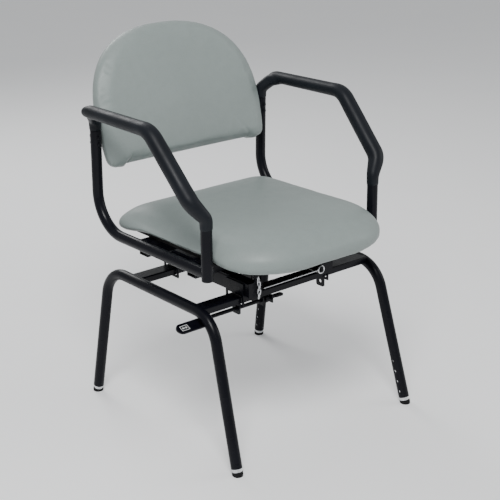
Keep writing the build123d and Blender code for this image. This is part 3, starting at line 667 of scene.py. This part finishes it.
def pleat_back(pad):
    """Folds the cover round the two lower corners and shapes the lower edge between them."""
    co = coordinates(pad.data)
    u, v, t = back_local(co)
    depth = np.zeros(len(co))
    for foot, lean, strength, width, reach in BACK_PLEATS:
        line = u - (foot + lean * v)
        fade = np.exp(-((np.maximum(v, 0.0) / reach) ** 2))
        depth += strength * np.exp(-((line / width) ** 2)) * fade
    depth -= 1.4 * np.exp(-(((np.abs(u) - 200.0) / 22.0) ** 2)) * np.exp(-((v / 26.0) ** 2))
    facing = smoothstep(-t, -14.0, 4.0)
    c, s = math.cos(BACK_LEAN), math.sin(BACK_LEAN)
    lower = np.exp(-((np.maximum(v, 0.0) / 9.0) ** 2))
    inward = np.stack([np.zeros(len(co)), c * (1 - lower) + s * lower, -s * (1 - lower) + c * lower], 1)
    co += inward * (depth * facing * MM)[:, None]
    bottom = np.exp(-((np.maximum(v, 0.0) / 12.0) ** 2))
    co += np.array([0.0, s, c]) * (BACK_BOTTOM_LIFT * MM * bottom)[:, None]
    lobe = smoothstep(np.abs(u), *BACK_LOBE_FADE) * np.exp(-((np.maximum(v, 0.0) / 20.0) ** 2))
    co += np.array([0.0, -s, -c]) * (BACK_LOBE_DROP * MM * lobe)[:, None]
    set_coordinates(pad.data, co)


def back_shell():
    """Moulded shell behind the pad, with a rolled rim and a shallow dished middle."""
    outline = back_outline()
    rear = BACK_HALF_THICK
    rings = [
        back_ring(outline, PANEL_INSET + 16, 1.0, rear - 8.0),
        back_ring(outline, PANEL_INSET + 3, 1.0, rear - 7.5),
        back_ring(outline, PANEL_INSET + 1, 1.0, rear - 4.5),
        back_ring(outline, PANEL_INSET + 1, 1.0, rear - 2.0),
        back_ring(outline, PANEL_INSET + 3, 1.0, rear - 0.4),
        back_ring(outline, PANEL_INSET + 6, 1.0, rear),
        back_ring(outline, PANEL_INSET + 15, 1.0, rear),
        back_ring(outline, PANEL_INSET + 17, 1.0, rear - 0.5),
        back_ring(outline, PANEL_INSET + 19, 1.0, rear - 1.6),
        back_ring(outline, PANEL_INSET + 22, 1.0, rear - 2.0),
    ]
    for scale in (0.85, 0.7, 0.5, 0.3, 0.12, 0.01):
        rings.append(back_ring(outline, PANEL_INSET + 22, scale, rear - 2.0))
    shell = loft("back_shell", rings)
    finish_piece(shell, "seat", "black_plastic", "back_panel")


# ---------------------------------------------------------------- armrests
def rounded_route(side, points, radii):
    """Evenly stepped points along straight runs joined by bends, and their shares of its length."""
    points = [Vector((side * x, y, z)) for x, y, z in points]
    route = [points[0]]
    for before, corner, after, radius in zip(points, points[1:], points[2:], radii):
        into, out = (before - corner).normalized(), (after - corner).normalized()
        half = into.angle(out) / 2
        trim = radius / math.tan(half)
        start, end = corner + into * trim, corner + out * trim
        for k in range(9):
            t = k / 8
            route.append(start * (1 - t) ** 2 + corner * 2 * t * (1 - t) + end * t**2)
    route.append(points[-1])
    line = np.array([tuple(p) for p in route])
    lengths = np.linalg.norm(np.diff(line, axis=0), axis=1)
    along = np.concatenate([[0.0], np.cumsum(lengths)])
    at = np.linspace(0.0, along[-1], int(along[-1] / ARM_STEP))
    return np.stack([np.interp(at, along, line[:, i]) for i in range(3)], axis=1), at / along[-1]


def oval_rings(route, share, sizes):
    """Oval sections across a route, as wide and thick as the sizes say."""
    sideways = Vector((1, 0, 0))
    at, widths, thicks = zip(*sizes)
    rings = []
    for i, point in enumerate(route):
        ahead = route[min(i + 2, len(route) - 1)] - route[max(i - 2, 0)]
        forward = Vector(ahead).normalized()
        across = (sideways - forward * sideways.dot(forward)).normalized()
        over = forward.cross(across)
        half_width = float(np.interp(share[i], at, widths))
        half_thick = float(np.interp(share[i], at, thicks))
        ring = []
        for j in range(ARM_RING_POINTS):
            angle = 2 * math.pi * j / ARM_RING_POINTS
            c, s = power_curve(angle, ARM_OVAL_POWER)
            ring.append(Vector(point) + across * half_width * c + over * half_thick * s)
        rings.append(ring)
    return rings


def armrest(side_name, side):
    """Moulded grip: oval along its top, round at both joints, with an overhanging tail."""
    name = "armrest_skin_" + side_name
    grip = loft(name, oval_rings(*rounded_route(side, GRIP_ROUTE, GRIP_BENDS), GRIP_SIZES))
    neck_rings = oval_rings(*rounded_route(side, NECK_ROUTE, NECK_BENDS), NECK_SIZES)
    merge_meshes(grip, loft(name + "_neck", neck_rings))
    voxel_remesh(grip, ARM_VOXEL, ARM_SMOOTHING)
    finish_piece(grip, "seat", "arm_polyurethane", "armrest_" + side_name)


def merge_meshes(kept, joined):
    """Adds the second piece's faces to the first and removes the second."""
    offset = len(kept.data.vertices)
    vertices = [v.co / MM for v in kept.data.vertices] + [v.co / MM for v in joined.data.vertices]
    faces = [tuple(p.vertices) for p in kept.data.polygons]
    faces += [tuple(i + offset for i in p.vertices) for p in joined.data.polygons]
    mesh = bpy.data.meshes.new(kept.name)
    mesh.from_pydata([tuple(v * MM) for v in vertices], [], faces)
    kept.data = mesh
    bpy.data.objects.remove(joined)


# ---------------------------------------------------------------- rubber feet
def rubber_foot(name, side, end):
    """Ribbed tip turned about the leg, flat where it stands on the floor."""
    corner_y = FRAME_FRONT_Y if end < 0 else FRAME_REAR_Y
    foot = Vector((side * FOOT_X, end * FOOT_Y, 0))
    up = (Vector((side * FRAME_X, corner_y, FRAME_Z)) - foot).normalized()
    across = Vector((-side, 0, 0))
    inward = (across - up * across.dot(up)).normalized()
    third = up.cross(inward)
    rings = []
    for height, radius in FOOT_PROFILE:
        ring = []
        for j in range(FOOT_RING_POINTS):
            angle = 2 * math.pi * j / FOOT_RING_POINTS
            outward = inward * math.cos(angle) + third * math.sin(angle)
            point = foot + up * height + outward * radius
            ring.append((point.x, point.y, max(point.z, 0.0)))
        rings.append(ring)
    tip = loft("rubber_foot_" + name, rings)
    finish_piece(tip, "leg_" + name, "foot_rubber", "leg_foot_" + name)


# ---------------------------------------------------------------- symbol on the lever
def lever_symbol():
    """Generic two-way arrow in a square frame, printed on the lever's paddle."""
    outlines = []
    x0, x1 = SYMBOL_X
    y0, y1 = SYMBOL_Y
    line = SYMBOL_LINE
    for a, b, c, d in (
        (x0, x1, y0, y0 + line), (x0, x1, y1 - line, y1),
        (x0, x0 + line, y0 + line, y1 - line), (x1 - line, x1, y0 + line, y1 - line),
        (x0 + 6, x1 - 6, -8.8, -7.2),
    ):
        outlines.append([(a, c), (b, c), (b, d), (a, d)])
    outlines.append([(x0 + 3, -8.0), (x0 + 7, -11.2), (x0 + 7, -4.8)])
    outlines.append([(x1 - 3, -8.0), (x1 - 7, -4.8), (x1 - 7, -11.2)])
    low, high = PADDLE_HALF_THICK - PRINT_SUNK, PADDLE_HALF_THICK + PRINT_PROUD
    c, s = math.cos(PADDLE_TILT), math.sin(PADDLE_TILT)
    vertices, faces = [], []
    for outline in outlines:
        base, size = len(vertices), len(outline)
        for z in (low, high):
            for x, y in outline:
                vertices.append((x, LEVER_Y + y * c - z * s, LEVER_Z + y * s + z * c))
        faces.append(tuple(reversed(range(base, base + size))))
        faces.append(tuple(range(base + size, base + 2 * size)))
        for j in range(size):
            k = (j + 1) % size
            faces.append((base + j, base + k, base + size + k, base + size + j))
    symbol = smooth_object("lever_symbol", vertices, faces)
    symbol.data.shade_flat()
    finish_piece(symbol, "lever", "nylon")
    dress(symbol, white_print())


# ---------------------------------------------------------------- stage
def camera():
    """Camera at the chair's left front, above the seat, looking down on it."""
    data = bpy.data.cameras.new("camera")
    data.sensor_width = CAMERA_SENSOR
    data.lens = CAMERA_LENS
    holder = bpy.data.objects.new("camera", data)
    bpy.context.scene.collection.objects.link(holder)
    turn = Matrix((CAMERA_RIGHT, CAMERA_UP, CAMERA_BACK)).transposed()
    holder.rotation_mode = "QUATERNION"
    holder.rotation_quaternion = turn.to_quaternion()
    holder.location = Vector(CAMERA_PLACE) + Vector(MIDDLE)
    bpy.context.scene.camera = holder


def area_light(name, place, size, power):
    data = bpy.data.lights.new(name, "AREA")
    data.shape = "DISK"
    data.size = size
    data.energy = power
    holder = bpy.data.objects.new(name, data)
    holder.location = place
    aim = Vector(LIGHT_TARGET) - Vector(place)
    holder.rotation_mode = "QUATERNION"
    holder.rotation_quaternion = aim.to_track_quat("-Z", "Y")
    bpy.context.scene.collection.objects.link(holder)


def stage():
    """Pale floor, even studio world and three soft lights."""
    reach = FLOOR_REACH
    corners = [(-reach, -reach, 0), (reach, -reach, 0), (reach, reach, 0), (-reach, reach, 0)]
    floor = smooth_object("floor", corners, [(0, 1, 2, 3)])
    dress(floor, pale_floor())
    world = bpy.data.worlds.new("studio")
    world.use_nodes = True
    world.node_tree.nodes["Background"].inputs["Color"].default_value = WORLD_COLOUR
    world.node_tree.nodes["Background"].inputs["Strength"].default_value = WORLD_STRENGTH
    bpy.context.scene.world = world
    for name, place, size, power in LIGHTS:
        area_light(name, place, size, power)


# ---------------------------------------------------------------- build
camera()
dress_cad_nodes()
seat_pad()
back_pad()
back_shell()
for side_name, side in SIDES.items():
    armrest(side_name, side)
    for end_name, end in ENDS.items():
        rubber_foot(end_name + "_" + side_name, side, end)
lever_symbol()
stage()
